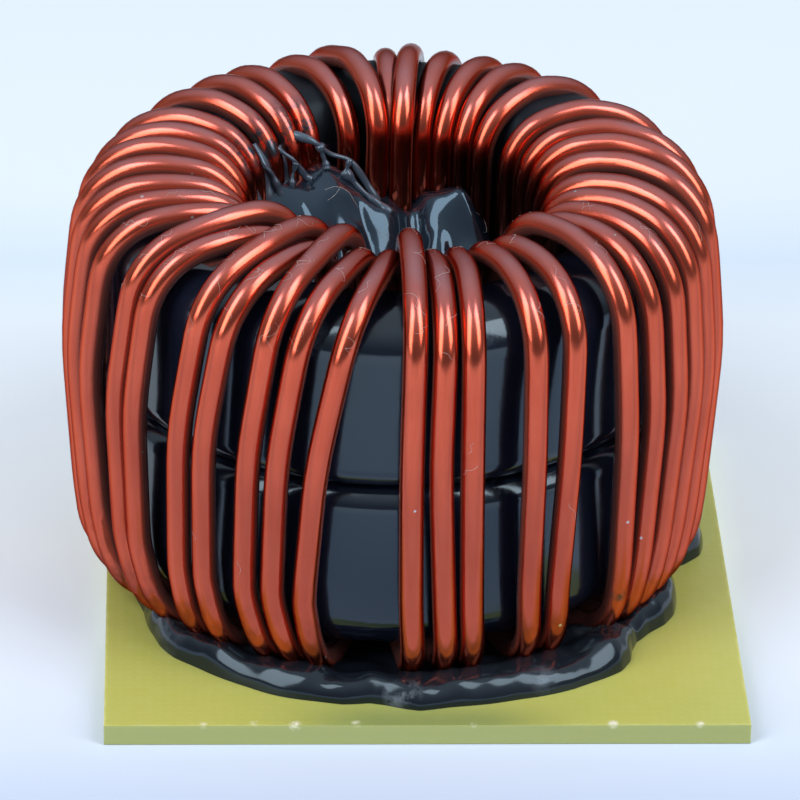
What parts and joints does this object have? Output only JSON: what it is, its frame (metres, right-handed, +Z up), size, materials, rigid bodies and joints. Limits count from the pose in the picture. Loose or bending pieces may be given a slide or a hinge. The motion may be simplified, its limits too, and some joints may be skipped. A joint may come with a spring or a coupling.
{
  "type": "toroidal inductor",
  "caption": "Toroidal inductor: thick enamelled copper wire wound round stacked black ring cores, bonded with black resin to a flat square glass-fibre base plate.",
  "frame": {"origin": "centre of the base plate's underside", "axes": "+Z up along the ring's axis, -Y to the side the picture shows as the front, +X to its right"},
  "size_m": [0.0514, 0.0531, 0.0361],
  "materials": {
    "glass_fibre": "bare yellow-green glass-fibre laminate with a fine weave",
    "core_coating": "smooth black epoxy coating",
    "enamelled_copper": "copper under clear reddish enamel",
    "resin": "hand-laid black resin, glossy and wavy"
  },
  "bodies": {
    "root": {"base_plate": "glass_fibre", "lower_core": "core_coating", "upper_core": "core_coating", "winding": "enamelled_copper", "base_resin": "resin", "bore_resin": "resin"}
  },
  "joints": []
}
